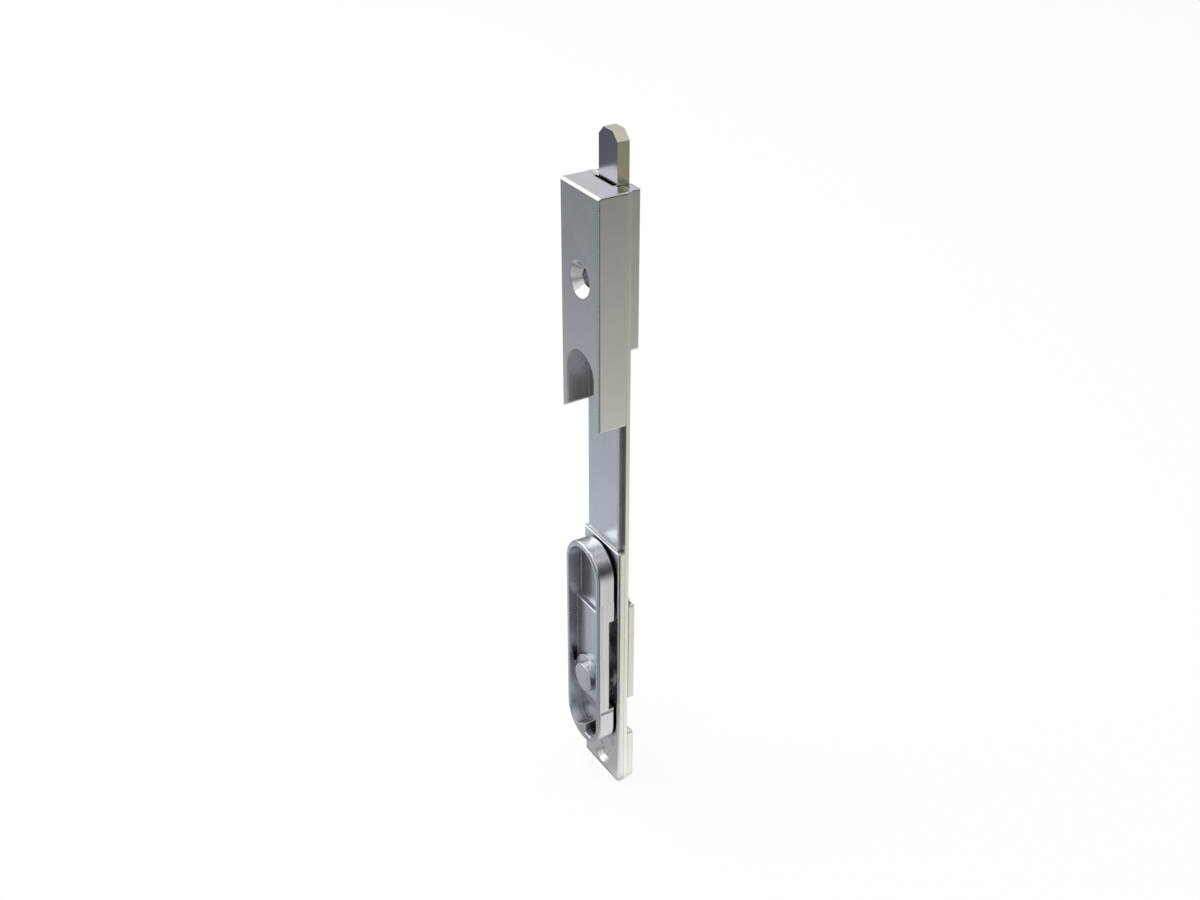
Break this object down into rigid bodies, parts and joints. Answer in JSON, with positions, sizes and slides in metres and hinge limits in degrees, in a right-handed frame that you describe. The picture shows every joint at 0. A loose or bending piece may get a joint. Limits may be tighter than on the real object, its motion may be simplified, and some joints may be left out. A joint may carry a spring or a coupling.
{
  "type": "edge bolt",
  "caption": "Flush lever edge bolt: a long narrow plated body for a 16 mm groove, with a fold-out lever that draws a flat chamfered bolt tip in and out of its top.",
  "frame": {"origin": "on the back face of the face strip, midway between the two fixing holes", "axes": "+Z along the bolt towards its tip, -Y out of the groove towards the lever, +X to the right of someone facing the lever"},
  "size_m": [0.016, 0.0105, 0.1711],
  "materials": {
    "strip": "satin nickel plate, rolled steel strip",
    "casting": "satin nickel plate on a zinc die casting",
    "lever": "satin nickel plate on a zinc die casting",
    "bar": "satin zinc-plated steel",
    "tip": "satin zinc-plated steel, milled sides",
    "pin": "plain bright steel"
  },
  "bodies": {
    "frame": {"face_strip": "strip", "upper_housing": "casting", "bolt_guide": "casting", "lever_base": "casting", "link_cover": "casting", "lower_block": "casting", "housing_rivet_left": "pin", "housing_rivet_right": "pin", "cover_rivet_left": "pin", "cover_rivet_right": "pin", "block_rivet_left": "pin", "block_rivet_right": "pin"},
    "bar": {"drive_bar": "bar", "bolt_tip": "tip", "tip_rivet_left": "pin", "tip_rivet_right": "pin"},
    "lever_arm": {"lever": "lever", "hinge_pin": "pin", "crank_pin": "pin"},
    "link_arm": {"link": "bar", "bar_pin": "pin"}
  },
  "joints": [
    {"name": "lever_hinge", "type": "hinge", "parent": "frame", "child": "lever_arm", "pos_m": [0, -0.0042, -0.0593], "axis": [1, 0, 0], "range_deg": [0, 41]},
    {"name": "bolt_slide", "type": "slide", "parent": "frame", "child": "bar", "axis": [0, 0, 1], "range_m": [-0.012, 0]},
    {"name": "link_pivot", "type": "hinge", "parent": "lever_arm", "child": "link_arm", "pos_m": [0, -0.005, -0.0411], "axis": [1, 0, 0], "range_deg": [-81, 0]}
  ],
  "couplings": [
    {"joint": "bolt_slide", "follows": "lever_hinge", "m_per_rad": -0.016769},
    {"joint": "link_pivot", "follows": "lever_hinge", "ratio": -1.975}
  ]
}
